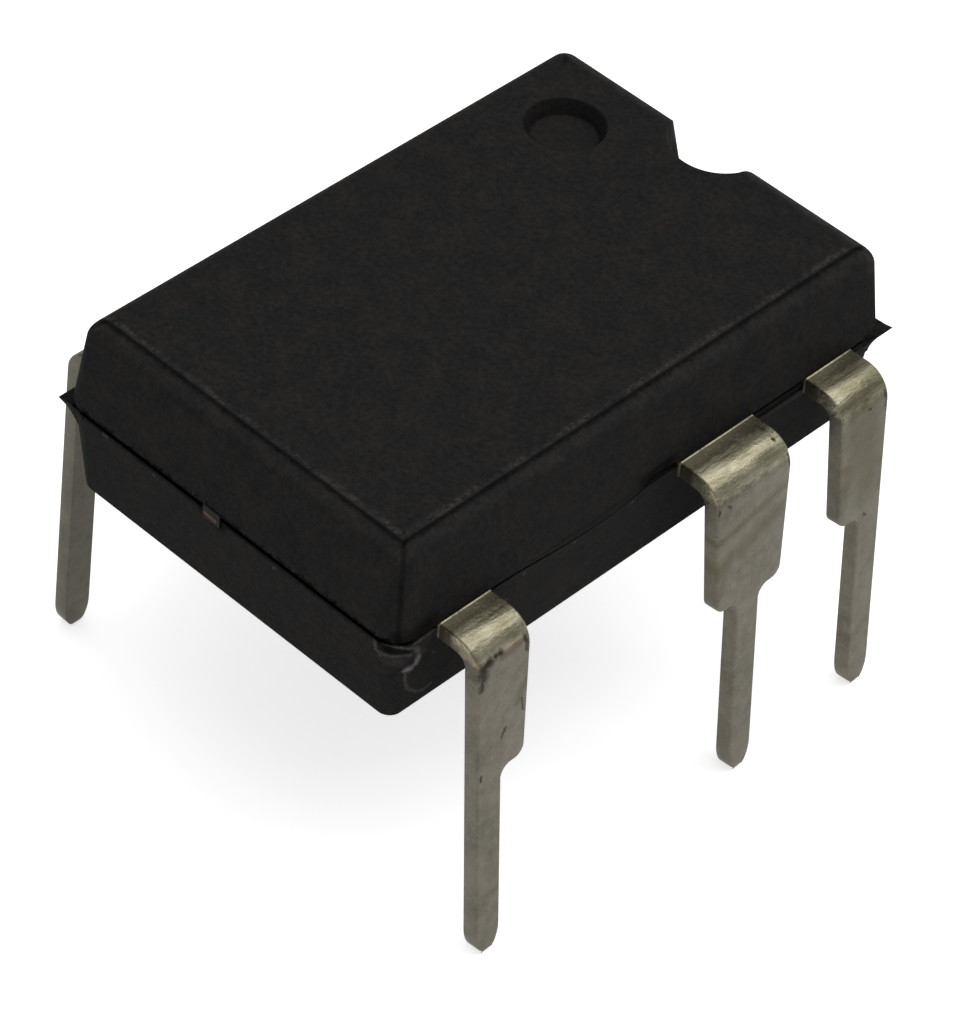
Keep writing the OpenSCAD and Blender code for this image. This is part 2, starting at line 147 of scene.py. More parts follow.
def form_leg(y, splay, low, high):
    """Bends the strip that leaves the body at Y, draws its leg and tip, and rounds its sheared edges.
    low and high are the shoulder's reach to either side, which is a narrow one where it has no step."""
    bend_x = ROW_W / 2 - BEND_OUTER_R * (1 - math.sin(splay)) / math.cos(splay)
    bend_z = SEAT - BEND_OUTER_R
    down = Vector((math.sin(splay), 0, -math.cos(splay)))
    bend_end = bend_z + (BEND_R + LEAD_T / 2) * math.sin(splay)
    to_step = bend_end / math.cos(splay)
    to_tip = (bend_end - TIP_Z) / math.cos(splay)

    def of_this_lead(place):
        return abs(place.y - y) < PITCH / 2 and place.x > SIDE - LOCK_IN / 2

    bpy.ops.transform.translate(value=(bend_x - span(0)[0], 0, 0))
    bpy.ops.mesh.spin(steps=BEND_STEPS, angle=splay - math.pi / 2, center=(bend_x, y, bend_z), axis=(0, 1, 0))
    low_step = SHOULDER_LOW if low > NARROW else NARROW
    high_step = SHOULDER_LOW if high > NARROW else NARROW
    draw(down * to_step, y - low_step, y + high_step)
    for side, reach in ((-1, low), (1, high)):
        if reach > NARROW:
            cut_across((0, y + side * NARROW, 0), (0, 1, 0),
                       lambda f: of_this_lead(f.calc_center_median()) and f.calc_center_median().z < bend_z)
    pick("FACE", lambda f: of_this_lead(f.calc_center_median()) and f.normal.dot(down) > 0.99
         and f.calc_center_median().z < bend_z / 2 and abs(f.calc_center_median().y - y) < NARROW)
    draw(down * (to_tip - to_step - TIP_L), y - NARROW, y + NARROW)
    reached, thickness = 0, 1
    for i in range(1, TIP_STEPS + 1):
        turn = TIP_TURN * i / TIP_STEPS
        ahead = TIP_L * math.sin(turn) / math.sin(TIP_TURN)
        half = NARROW * math.cos(turn) ** TIP_FULLNESS
        draw(down * (ahead - reached), y - half, y + half)
        past = max(0, (ahead - TIP_L + NOSE_L) / NOSE_L)
        left = 1 - (1 - NOSE_SHARE) * past ** 2
        bpy.ops.transform.resize(value=(left / thickness, 1, 1), center_override=(sum(span(0)) / 2, 0, 0))
        reached, thickness = ahead, left

    pick("EDGE", lambda e: of_this_lead(middle(e)) and is_sharp(e) and abs(middle(e).z) < 2 * SHOULDER_R
         and abs((e.verts[0].co - e.verts[1].co).normalized().x) > 0.9)
    bpy.ops.mesh.bevel(offset=SHOULDER_R, segments=6, affect="EDGES")
    cut_across((SIDE - LOCK_IN / 4, 0, 0), (1, 0, 0),
               lambda f: abs(f.calc_center_median().y - y) < PITCH / 2 and f.calc_center_median().z > FRAME_LOW - MM)
    for width, faces_out in ((ROLLED_EDGE, True), (BURR_EDGE, False)):
        pick("EDGE", lambda e: of_this_lead(middle(e)) and is_sharp(e)
             and min(v.co.x for v in e.verts) > SIDE - LOCK_IN / 3
             and any(f.normal.x + f.normal.z > 0.5 for f in e.link_faces) == faces_out)
        bpy.ops.mesh.bevel(offset=width, segments=3, affect="EDGES")
    for out in (BEAD_X - BEAD_R, BEAD_X, BEAD_X + BEAD_R):
        cut_across((out, 0, 0), (1, 0, 0), lambda f: of_this_lead(f.calc_center_median()) and f.normal.z > 0.9)
    pick("VERT", lambda v: of_this_lead(v.co) and abs(v.co.x - BEAD_X) < BEAD_R / 10 and v.co.z > SEAT - BEAD_R / 10)
    bpy.ops.transform.translate(value=(0, 0, BEAD_R))


def punch_hole(piece, y):
    """Punches the hole by which the epoxy locks a lead."""
    punch = start(bpy.ops.mesh.primitive_cylinder_add, "punch", vertices=40, radius=LOCK_R, depth=4 * LEAD_T,
                  location=(SIDE - LOCK_IN, y, SEAT - LEAD_T / 2))
    take_away(piece, punch)


def take_away(piece, tool, operation="DIFFERENCE"):
    """Cuts a piece with a tool, or joins the tool to it, and clears the tool away."""
    only(piece)
    bpy.ops.object.modifier_add(type="BOOLEAN")
    cut = piece.modifiers[-1]
    cut.operation = operation
    cut.object = tool
    cut.solver = "EXACT"
    bpy.ops.object.modifier_apply(modifier=cut.name)
    bpy.data.objects.remove(tool)


def only(piece):
    """Takes this piece alone in hand."""
    bpy.ops.object.select_all(action="DESELECT")
    piece.select_set(True)
    bpy.context.view_layer.objects.active = piece


def smooth(piece, angle=35):
    """Shades the bends and rounded edges smoothly and keeps the flats flat."""
    only(piece)
    bpy.ops.object.shade_smooth_by_angle(angle=math.radians(angle))
    bpy.ops.object.modifier_add(type="WEIGHTED_NORMAL")
    piece.modifiers[-1].keep_sharp = True
    bpy.ops.object.modifier_apply(modifier=piece.modifiers[-1].name)


def to_left_row(piece):
    """Mirrors a lead to the row at -X."""
    only(piece)
    bpy.ops.object.mode_set(mode="EDIT")
    bpy.ops.mesh.select_all(action="SELECT")
    bpy.ops.transform.resize(value=(-1, 1, 1), center_override=(0, 0, 0))
    bpy.ops.mesh.normals_make_consistent(inside=False)
    bpy.ops.object.mode_set(mode="OBJECT")


def end_lead(name, way, splay, tip_x, reach, tip_w):
    """A lead at the end of a row. Its finger turns in along the paddle's end, and its shoulder has one step."""
    y = way * 1.5 * PITCH
    inner, outer = y - way * SHOULDER, y + way * NARROW
    piece = block(name, (FINGER_X, min(inner, outer), FRAME_LOW), (SIDE, max(inner, outer), SEAT))
    bpy.ops.object.mode_set(mode="EDIT")
    pick("FACE", lambda f: f.normal.x < -0.9)
    turn_x = tip_x + SHOULDER
    slant = (FINGER_X - turn_x) / (FINGER_X - tip_x)
    far = outer + slant * (reach + way * tip_w - outer)
    draw((turn_x - FINGER_X, 0, 0), min(reach, far), max(reach, far))
    far = reach + way * tip_w
    draw((tip_x - turn_x, 0, 0), min(reach, far), max(reach, far))
    pick("FACE", lambda f: f.normal.x > 0.9)
    low, high = (SHOULDER, NARROW) if way > 0 else (NARROW, SHOULDER)
    form_leg(y, splay, low, high)
    bpy.ops.object.mode_set(mode="OBJECT")
    punch_hole(piece, y - way * (SHOULDER - NARROW) / 2)
    return piece


TIE_IN = 0.28 * MM
TIE_W = 0.32 * MM
PADDLE_LOW = Vector((0.25 - 1.5, 0.1 - 2.45, 0)) * MM
PADDLE_HIGH = Vector((0.25 + 1.5, 0.1 + 2.45, 0)) * MM
END_GAP = 0.3 * MM
FINGER_W = 0.32 * MM
SIDE_GAP = 0.25 * MM
FAR_REACH = PADDLE_HIGH.y + END_GAP
NEAR_REACH = PADDLE_LOW.y - END_GAP
LEFT_TIP = TIE_IN + TIE_W / 2 + 0.3 * MM
RIGHT_TIP = 0.4 * MM

leads = {}
leads[1] = end_lead("tinned_lead_1", 1, SPLAY_LEFT, LEFT_TIP, FAR_REACH, FINGER_W)
leads[4] = end_lead("tinned_lead_4", -1, SPLAY_LEFT, LEFT_TIP, NEAR_REACH, FINGER_W)
leads[5] = end_lead("tinned_lead_5", -1, SPLAY_RIGHT, RIGHT_TIP, NEAR_REACH, FINGER_W)

leads[2] = block("tinned_lead_2", (FINGER_X, PITCH / 2 - SHOULDER, FRAME_LOW), (SIDE, PITCH / 2 + SHOULDER, SEAT))
bpy.ops.object.mode_set(mode="EDIT")
pick("FACE", lambda f: f.normal.x < -0.9)
draw((SIDE_GAP - PADDLE_LOW.x - FINGER_X, 0, 0), PITCH / 2 - SHOULDER * 2 / 3, PITCH / 2 + SHOULDER * 2 / 3)
pick("FACE", lambda f: f.normal.x > 0.9)
form_leg(PITCH / 2, SPLAY_LEFT, SHOULDER, SHOULDER)
bpy.ops.object.mode_set(mode="OBJECT")
punch_hole(leads[2], PITCH / 2)
only(leads[2])
bpy.ops.object.duplicate()
leads[3] = bpy.context.object
leads[3].name = leads[3].data.name = "tinned_lead_3"
bpy.ops.object.mode_set(mode="EDIT")
bpy.ops.mesh.select_all(action="SELECT")
bpy.ops.transform.translate(value=(0, -PITCH, 0))
bpy.ops.object.mode_set(mode="OBJECT")

for place, piece in sorted(leads.items()):
    if place < 5:
        to_left_row(piece)
    smooth(piece)
    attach(piece, "root")
    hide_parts(f"lead_{place}")


class Reading:
    """One value or colour in a finish. Arithmetic on it adds the Math nodes that work it out."""

    def __init__(self, finish, socket):
        self.finish = finish
        self.socket = socket

    def math(self, operation, first, second, third=0.0):
        return self.finish.node("Math", {"operation": operation}, {0: first, 1: second, 2: third})

    def __add__(self, other):
        return self.math("ADD", self, other)

    __radd__ = __add__

    def __sub__(self, other):
        return self.math("SUBTRACT", self, other)

    def __rsub__(self, other):
        return self.math("SUBTRACT", other, self)

    def __mul__(self, other):
        return self.math("MULTIPLY", self, other)

    __rmul__ = __mul__

    def __truediv__(self, other):
        return self.math("DIVIDE", self, other)

    def __abs__(self):
        return self.math("ABSOLUTE", self, 0.0)


class Finish:
    """A procedural material. Its patterns are measured in millimetres on the piece's own coordinates."""

    def __init__(self, name, **constants):
        self.material = bpy.data.materials.new(name)
        self.material.use_nodes = True
        self.tree = self.material.node_tree
        self.shader = self.tree.nodes["Principled BSDF"]
        for socket, value in constants.items():
            self.shader.inputs[socket.replace("_", " ")].default_value = value
        place = self.node("TexCoord", output="Object")
        self.place = self.node("VectorMath", {"operation": "SCALE"}, {0: place, "Scale": 1 / MM})
        self.x, self.y, self.z = (self.node("SeparateXYZ", {}, {0: self.place}, axis) for axis in "XYZ")

    def node(self, kind, settings=None, inputs=None, output=0):
        """Adds a node: its type, its settings, then the values or links of its sockets."""
        made = self.tree.nodes.new("ShaderNode" + kind)
        for name, value in (settings or {}).items():
            if name == "stops":
                self.set_stops(made.color_ramp, value)
            else:
                setattr(made, name, value)
        for name, value in (inputs or {}).items():
            self.feed(made.inputs[name], value)
        return Reading(self, made.outputs[output])

    def set_stops(self, ramp, stops):
        for place, colour in stops[len(ramp.elements):]:
            ramp.elements.new(place)
        for element, (place, colour) in zip(ramp.elements, stops):
            element.position = place
            element.color = (*colour, 1)

    def feed(self, socket, value):
        if isinstance(value, Reading):
            self.tree.links.new(value.socket, socket)
        elif socket.type == "RGBA":
            socket.default_value = (*value, 1)
        else:
            socket.default_value = value

    def to_shader(self, **inputs):
        for name, value in inputs.items():
            self.feed(self.shader.inputs[name.replace("_", " ")], value)

    def noise(self, scale, detail=3, roughness=0.5, stretch=(1, 1, 1)):
        """Noise from 0 to 1, with about as many swells to the millimetre as its scale."""
        place = self.node("Mapping", {}, {"Vector": self.place, "Scale": stretch})
        return self.node("TexNoise", {}, {"Vector": place, "Scale": scale, "Detail": detail, "Roughness": roughness})

    def math_max(self, first, second):
        """The larger of two values."""
        return self.node("Math", {"operation": "MAXIMUM"}, {0: first, 1: second})

    def step(self, value, low, high):
        """0 below low, 1 above high, and smooth between. It falls where low is the higher one."""
        return self.node("MapRange", {"interpolation_type": "SMOOTHSTEP"},
                         {"Value": value, "From Min": low, "From Max": high})

    def mix(self, share, first, second):
        """The first colour, giving way to the second by a share from 0 to 1."""
        return self.node("Mix", {"data_type": "RGBA"}, {0: share, 6: first, 7: second}, 2)

    def bump(self, height, depth, under=None):
        """Normals for a height from 0 to 1, which stands for a depth in millimetres."""
        inputs = {"Height": height, "Distance": depth * MM, "Strength": 1.0}
        if under is not None:
            inputs["Normal"] = under
        return self.node("Bump", {}, inputs)

    def vector(self, operation, first, second, output=0):
        """Arithmetic on vectors."""
        return self.node("VectorMath", {"operation": operation}, {0: first, 1: second}, output)

    def warped(self, scale, reach, squash=(1, 1, 1)):
        """The place, pushed about by noise of a reach in millimetres, and squashed along each axis."""
        push = self.node("TexNoise", {}, {"Vector": self.place, "Scale": scale, "Detail": 3.0, "Roughness": 0.7}, "Color")
        push = self.vector("MULTIPLY", self.vector("SUBTRACT", push, (0.5, 0.5, 0.5)), (2 * reach,) * 3)
        return self.vector("MULTIPLY", self.vector("ADD", self.place, push), squash)

    def stroke(self, begin, end, width, place=None):
        """1 along a straight mark, fading to 0 at its width, all in millimetres."""
        place = place or self.place
        run = Vector(end) - Vector(begin)
        share = self.vector("DOT_PRODUCT", place, run / run.length_squared, "Value")
        share = self.node("Math", {"operation": "SUBTRACT", "use_clamp": True},
                          {0: share, 1: run.dot(Vector(begin)) / run.length_squared})
        nearest = self.node("VectorMath", {"operation": "MULTIPLY_ADD"}, {0: share, 1: tuple(run), 2: begin})
        return self.fade(self.vector("DISTANCE", place, nearest, "Value"), width)

    def spot(self, middle, width, place=None):
        """1 at a place, fading to 0 at its width, all in millimetres."""
        return self.fade(self.vector("DISTANCE", place or self.place, middle, "Value"), width)

    def fade(self, away, width):
        """1 up to an eighth of a width away, and 0 from half of it."""
        return self.node("Math", {"operation": "MULTIPLY_ADD", "use_clamp": True}, {0: away, 1: -8 / 3 / width, 2: 4 / 3})


# Marks on the front of leads 5, 7 and 8, as strokes in millimetres: colour, strength, then for each
# stroke the Y and Z where it begins and ends, and its width. The first set are darker stripes and the second
# brown stains; the near-black third set is mostly painted shade along the edges and foot of the bends,
# with small dark pits.
LEAD_MARKS = (
    ((0.07, 0.062, 0.03), 0.6, (
        (0.6, 0.82, 2.1, 1.3, 0.42), (0.5, 1.28, 2.1, 1.62, 0.2), (4.05, 0.84, 3.2, 1.06, 0.34),
        (-3.05, 1.5, -3.3, 1.0, 0.2), (3.62, 1.95, 3.62, 0.7, 1.1), (3.3, 1.6, 4.0, 1.76, 0.2))),
    ((0.09, 0.055, 0.035), 0.55, (
        (3.71, 1.37, 3.77, 1.37, 0.09), (-4.02, 2.12, -3.97, 1.93, 0.14), (-3.6, 1.93, -3.1, 2.02, 0.12))),
    ((0.018, 0.015, 0.01), 0.95, (
        (-3.6, 2.01, -3.7, 2.01, 0.12), (-3.8, 1.99, -3.95, 1.95, 0.19), (-3.93, 1.94, -3.94, 1.8, 0.26),
        (-3.95, 1.8, -3.97, 1.62, 0.14), (-3.53, 0.68, -3.6, 0.58, 0.09), (-3.16, 2.01, -3.14, 1.8, 0.09),
        (-3.22, 1.02, -3.19, 0.8, 0.06), (0.76, 1.87, 0.8, 1.85, 0.08), (0.56, 1.88, 0.57, 1.82, 0.06),
        (1.86, 2.25, 1.87, 2.25, 0.06), (1.96, 2.05, 1.98, 1.85, 0.05), (3.62, 1.92, 3.68, 1.89, 0.07),
        (3.67, 0.01, 3.71, 0.0, 0.08), (3.96, 2.02, 3.97, 1.8, 0.07), (-3.97, 0.12, -3.98, 0.02, 0.06))),
)


def tin_finish(name):
    """Dull tin plate: grey brown, rubbed satiny where the bend was formed, with handling marks and stains. Painted
    light is in its colour too: a painted highlight on the bend and a painted bright line along the bead, a painted
    reflection of the black body on the flat beside it, and painted shade on the row at -X and at the edges of the
    bends.
    """
    tin = Finish(name, Specular_IOR_Level=0.05)
    clouds = tin.noise(1.3, 2, 0.6)
    blots = tin.noise(5.5, 3, 0.65)
    along = tin.noise(7, 2, 0.6, (1, 1, 0.12))
    grain = tin.noise(26, 2, 0.65)
    wrinkles = tin.noise(8, 3, 0.7, (1, 0.25, 1))
    # Where the bend was formed the plate is rubbed to satin, and its colour is painted lighter there as a painted
    # highlight.
    burnish_and_highlight = tin.step(tin.x + 0.1 * blots, 3.42, 3.54) * tin.step(tin.z + 0.22 * blots, 2.06, 2.2)
    # Painted reflection: the flat beside the body is painted dark, standing in for the black body seen in it.
    flat = tin.step(tin.x, 3.5, 3.42) * tin.step(tin.x, 0, 0.1)
    colour = tin.mix(tin.step(clouds, 0.3, 0.7), (0.091, 0.083, 0.06), (0.127, 0.115, 0.086))
    colour = tin.mix(0.6 * tin.step(blots, 0.45, 0.7), colour, (0.155, 0.143, 0.11))
    colour = tin.mix(0.6 * tin.step(blots, 0.45, 0.25), colour, (0.058, 0.051, 0.033))
    colour = tin.mix(0.35 * along, colour, (0.14, 0.13, 0.105))
    colour = tin.mix(0.8 * flat, colour, (0.055, 0.05, 0.03))
    # The bend's colour: partly the rubbed plate, partly a painted highlight.
    satin_and_highlight = tin.mix(tin.step(wrinkles, 0.3, 0.68), (0.185, 0.17, 0.11), (0.335, 0.315, 0.225))
    colour = tin.mix(burnish_and_highlight, colour, satin_and_highlight)
    colour = tin.mix(0.35 * tin.step(grain, 0.55, 0.75), colour, (0.24, 0.225, 0.17))
    colour = tin.mix(0.4 * tin.step(grain, 0.45, 0.25), colour, (0.045, 0.04, 0.028))
    # Painted highlight: a bright line painted along the bead beside the body.
    bead_highlight = tin.step(abs(tin.x - BEAD_X / MM), 0.022, 0.01) * tin.step(blots, 0.25, 0.5)
    colour = tin.mix(0.75 * bead_highlight, colour, (0.4, 0.375, 0.26))
    # Painted shade: the row at -X is painted darker.
    colour = tin.mix(0.4 * tin.step(tin.x, 0.5, -0.5), colour, (0.036, 0.037, 0.025))
    in_front = tin.warped(9, 0.07, (0, 1, 1))
    right_row = tin.step(tin.x, 3.35, 3.45)
    # The marks darken the fronts of the right row; the near-black set is painted shade at the edges of the bends.
    for tint, strength, marks in LEAD_MARKS:
        wear_and_shade = 0.0
        for y, z, end_y, end_z, width in marks:
            wear_and_shade = tin.math_max(wear_and_shade, tin.stroke((0, y, z), (0, end_y, end_z), width, in_front))
        colour = tin.mix(strength * wear_and_shade * right_row, colour, tint)
    sheared = tin.step(abs(tin.y), 4.7, 4.72)
    colour = tin.mix(sheared, colour, (0.0045, 0.004, 0.003))
    streak = tin.stroke((-0.4, -4.768, 2.12), (-0.2, -4.768, 2.105), 0.08)
    colour = tin.mix(streak * sheared, colour, (0.075, 0.04, 0.02))
    tin.to_shader(Base_Color=colour, Metallic=1 - sheared, Roughness=0.46 - 0.08 * burnish_and_highlight + 0.2 * (grain - 0.5))
    near_bend = tin.step(abs(tin.x), 3.2, 3.75) * tin.step(tin.z, 1.5, 2.2)
    skin = tin.bump(grain, 0.004)
    skin = tin.bump(wrinkles * near_bend + 0.5 * blots, 0.014, skin)
    tin.to_shader(Normal=skin)
    return tin.material


TIN = tin_finish("tin_plate")
for piece in leads.values():
    piece.data.materials.clear()
    piece.data.materials.append(TIN)

# Die paddle with leads 7 and 8
# One stamping of the same tinned strip. The paddle is pressed down below the leads so that the die's
# top comes level with them, and two tie bars held it in the strip until they were sheared off.
DOWNSET = 0.2 * MM
SLOPE = Vector((0.3, 0, 0.2)) * MM
BODY_END = 9.58 * MM / 2
TIE_END = BODY_END - 0.022 * MM
Y7, Y8 = PITCH / 2, 1.5 * PITCH
PLATE_X = SIDE - LOCK_IN


def extrude(step):
    """Draws what is selected out by a step, at its own size."""
    bpy.ops.mesh.extrude_region_move(TRANSFORM_OT_translate={"value": step})


paddle = block("paddle_with_leads_7_8", PADDLE_LOW + Vector((0, 0, FRAME_LOW - DOWNSET)),
               PADDLE_HIGH + Vector((0, 0, SEAT - DOWNSET)))
bpy.ops.object.mode_set(mode="EDIT")
for where, normal in (((0, Y7 - SHOULDER, 0), (0, 1, 0)), ((0, Y7 + SHOULDER, 0), (0, 1, 0)),
                      ((-TIE_IN - TIE_W / 2, 0, 0), (1, 0, 0)), ((-TIE_IN + TIE_W / 2, 0, 0), (1, 0, 0))):
    cut_across(where, normal, lambda f: True)
for way in (1, -1):
    pick("FACE", lambda f: f.normal.y * way > 0.9 and abs(f.calc_center_median().x + TIE_IN) < TIE_W / 2)
    extrude((0, way * SLOPE.x, SLOPE.z))
    extrude((0, way * TIE_END - span()[0], 0))
pick("FACE", lambda f: f.normal.x > 0.9 and abs(f.calc_center_median().y - Y7) < SHOULDER
     and f.calc_center_median().x > PADDLE_HIGH.x - MM / 10)
extrude(SLOPE)
extrude((PLATE_X - PADDLE_HIGH.x - SLOPE.x, 0, 0))
pick("FACE", lambda f: f.normal.y > 0.9 and f.calc_center_median().x > (PADDLE_HIGH.x + SLOPE.x + PLATE_X) / 2 - MM / 100)
extrude((0, Y8 - SHOULDER - span()[0], 0))
extrude((0, SHOULDER + NARROW, 0))
pick("FACE", lambda f: f.normal.x > 0.9 and abs(f.calc_center_median().y - Y7) < SHOULDER
     and f.calc_center_median().x > PLATE_X - MM / 100)
extrude((LOCK_IN, 0, 0))
form_leg(Y7, SPLAY_RIGHT, SHOULDER, SHOULDER)
pick("FACE", lambda f: f.normal.x > 0.9 and abs(f.calc_center_median().y - Y8) < SHOULDER
     and abs(f.calc_center_median().x - PLATE_X) < MM / 100)
extrude((LOCK_IN, 0, 0))
form_leg(Y8, SPLAY_RIGHT, SHOULDER, NARROW)
bpy.ops.object.mode_set(mode="OBJECT")
punch_hole(paddle, Y7)
punch_hole(paddle, Y8 - (SHOULDER - NARROW) / 2)
smooth(paddle)
paddle.data.materials.clear()
paddle.data.materials.append(TIN)
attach(paddle, "root")
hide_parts("paddle_and_leads_7_8")


# Die and its adhesive
# A sawn square of silicon, stuck down on the paddle with silver-filled epoxy. Both lie wholly inside
# the body, and stay as the CAD made them.
def dress(name, material):
    """Gives a CAD piece its finish."""
    piece = bpy.data.objects[name]
    piece.data.materials.clear()
    piece.data.materials.append(material)


silicon = Finish("silicon", Metallic=0.6)
silicon.to_shader(Base_Color=silicon.mix(silicon.noise(6), (0.03, 0.034, 0.045), (0.06, 0.065, 0.08)),
                  Roughness=0.2 + 0.1 * silicon.noise(20))
adhesive = Finish("silver_adhesive", Metallic=0.8)
adhesive.to_shader(Base_Color=adhesive.mix(adhesive.noise(15), (0.42, 0.42, 0.4), (0.6, 0.6, 0.57)),
                   Roughness=0.45 + 0.2 * adhesive.noise(25))
dress("die", silicon.material)
dress("die_attach", adhesive.material)

# Bond wires
# Fine copper wires, each melted to a ball on the die and stitched down flat on its lead or on the
# paddle. They too stay as the CAD made them.
copper = Finish("copper", Metallic=1.0)
copper.to_shader(Base_Color=copper.mix(copper.noise(8), (0.78, 0.37, 0.2), (0.9, 0.5, 0.32)),
                 Roughness=0.25 + 0.1 * copper.noise(30))
for name in ("bond_wire_1", "bond_wire_2", "bond_wire_3", "bond_wire_4", "bond_wire_5a", "bond_wire_5b",
             "ground_wire_a", "ground_wire_b"):
    dress(name, copper.material)

# Moulded body
# Black epoxy with silica filler, pressed round the lead frame in a two-part mould. Its walls are
# drafted each way from the parting line, and the mould leaves the end notch and the lead 1 dimple.
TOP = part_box("mould_body")[1].z
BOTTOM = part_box("mould_body")[0].z
CORNER_R = 0.36 * MM
CORNER_STEPS = 14
EDGE_STEPS = 10
LEDGE = 0.025 * MM
GROOVE_H = 0.095 * MM
GROOVE_IN = 0.085 * MM
TOP_R = 0.29 * MM
BOTTOM_R = 0.1 * MM
UPPER_DRAFT = math.radians(8.5)
LOWER_DRAFT = math.radians(6)


def mould_half(name, side, end, height, draft, edge_r, up):
    """Half of the body: its flat outline at the parting line, drawn up the draft and round the far edge."""
    piece = start(bpy.ops.mesh.primitive_plane_add, name, size=1, location=(0, 0, SEAT),
                  rotation=(0 if up > 0 else math.pi, 0, 0))
    bpy.ops.object.mode_set(mode="EDIT")
    bpy.ops.mesh.select_all(action="SELECT")
    bpy.ops.transform.resize(value=(2 * side, 2 * end, 1), center_override=(0, 0, SEAT))
    bpy.ops.mesh.bevel(offset=CORNER_R, segments=CORNER_STEPS, affect="VERTICES")
    bpy.ops.mesh.select_all(action="SELECT")
    inset = (height - edge_r * (1 - math.sin(draft))) * math.tan(draft)
    rise = height - edge_r * (1 - math.sin(draft))
    bpy.ops.mesh.inset(thickness=inset, depth=rise)
    for i in range(1, EDGE_STEPS + 1):
        turn = draft + (math.pi / 2 - draft) * i / EDGE_STEPS
        now = height * math.tan(draft) + edge_r * (1 - math.sin(draft)) / math.cos(draft) - edge_r * math.cos(turn)
        bpy.ops.mesh.extrude_region_move(
            TRANSFORM_OT_translate={"value": (0, 0, up * (height - edge_r * (1 - math.sin(turn)) - rise))})
        bpy.ops.transform.resize(value=((side - now) / (side - inset), (end - now) / (end - inset), 1),
                                 center_override=(0, 0, 0))
        rise = height - edge_r * (1 - math.sin(turn))
        inset = now
    bpy.ops.object.mode_set(mode="OBJECT")
    return piece


lower = mould_half("lower_half", SIDE - LEDGE, BODY_END - LEDGE, SEAT - BOTTOM, LOWER_DRAFT, BOTTOM_R, -1)
bpy.ops.object.mode_set(mode="EDIT")
pick("EDGE", lambda e: e.is_boundary)
bpy.ops.transform.translate(value=(0, 0, -GROOVE_H))
extrude((0, 0, 0))
bpy.ops.transform.resize(value=(1 - GROOVE_IN / SIDE, 1 - GROOVE_IN / BODY_END, 1), center_override=(0, 0, 0))
extrude((0, 0, GROOVE_H))
bpy.ops.object.mode_set(mode="OBJECT")
body = mould_half("epoxy_body", SIDE, BODY_END, TOP - SEAT, UPPER_DRAFT, TOP_R, 1)
lower.select_set(True)
bpy.ops.object.join()
bpy.ops.object.mode_set(mode="EDIT")
pick("EDGE", lambda e: e.is_boundary)
bpy.ops.mesh.bridge_edge_loops()
bpy.ops.mesh.select_all(action="SELECT")
bpy.ops.mesh.normals_make_consistent(inside=False)
bpy.ops.object.mode_set(mode="OBJECT")


def loft(name, rings):
    """A closed skin through rings of points, each with as many points as the first."""
    piece = start(bpy.ops.mesh.primitive_circle_add, name, vertices=len(rings[0]), radius=MM, fill_type="NGON")
    bpy.ops.object.mode_set(mode="EDIT")
    mesh = bmesh.from_edit_mesh(piece.data)
    mesh.verts.ensure_lookup_table()
    for vert, place in zip(mesh.verts, rings[0]):
        vert.co = place
    bmesh.update_edit_mesh(piece.data)
    bpy.ops.mesh.select_all(action="SELECT")
    for before, ring in zip(rings, rings[1:]):
        extrude((0, 0, 0))
        mesh = bmesh.from_edit_mesh(piece.data)
        for vert in mesh.verts:
            if vert.select:
                nearest = min(range(len(ring)), key=lambda i: (vert.co - Vector(before[i])).length_squared)
                vert.co = ring[nearest]
        bmesh.update_edit_mesh(piece.data)
    bpy.ops.mesh.select_all(action="SELECT")
    bpy.ops.mesh.normals_make_consistent(inside=False)
    bpy.ops.object.mode_set(mode="OBJECT")
    return piece


def arc(x, y, radius, begin, end, steps):
    """Points of an arc in plan, from one angle to another."""
    turns = [begin + (end - begin) * i / steps for i in range(steps + 1)]
    return [(x + radius * math.cos(t), y + radius * math.sin(t)) for t in turns]


# Sharp corners of flash stand out at two upright corners, where the mould's halves didn't close
EAR_L = 0.5 * MM
EAR_STEPS = 9


def ear(name, turn, reach, height, drop, above, sweep, hollow):
    """A corner of flash, thin at the parting line, that sweeps in to the corner above and below it."""
    side, end, root = SIDE - LEDGE, BODY_END - LEDGE, CORNER_R
    levels = [(above, -1.0)] if above else []
    for i in range(EAR_STEPS + 1):
        share = i / EAR_STEPS
        levels.append((-drop - height * share, 1 - sweep * (1 - (1 - share) ** hollow)))
    rings = []
    for rise, share in levels:
        pull = reach * (1 - share)
        out = reach * share
        plan = [(side - root, end - root), (side - root, end - pull), (side + out - root / 4, end - pull / 2 + reach / 6),
                (side + out, end - pull + reach / 3), (side + out, end - pull - EAR_L / 2), (side - pull, end - EAR_L)]
        rings.append([(turn * x, turn * y, SEAT + rise) for x, y in plan])
    return loft(name, rings)


take_away(body, ear("far_ear", 1, 0.13 * MM, 0.45 * MM, 0, 0.07 * MM, 1.6, 1.7), "UNION")
take_away(body, ear("near_ear", -1, 0.09 * MM, 0.6 * MM, 0.05 * MM, 0, 3.2, 1.15), "UNION")

# Between leads 5 and 7 the parting line sags in a skirt of flash, and a thin ledge joins leads 7 and 8
def ledge(name, stations):
    """A strip of flash along the right side. Each station gives its Y, its top and foot, and how far
    each of them stands out from the parting line's edge."""
    rings = []
    for y, top, top_out, foot, foot_out in stations:
        rings.append([(SIDE - 0.2 * MM, y * MM, top * MM), (SIDE + top_out * MM, y * MM, top * MM),
                      (SIDE + foot_out * MM, y * MM, foot * MM), (SIDE - 0.2 * MM, y * MM, foot * MM)])
    return loft(name, rings)


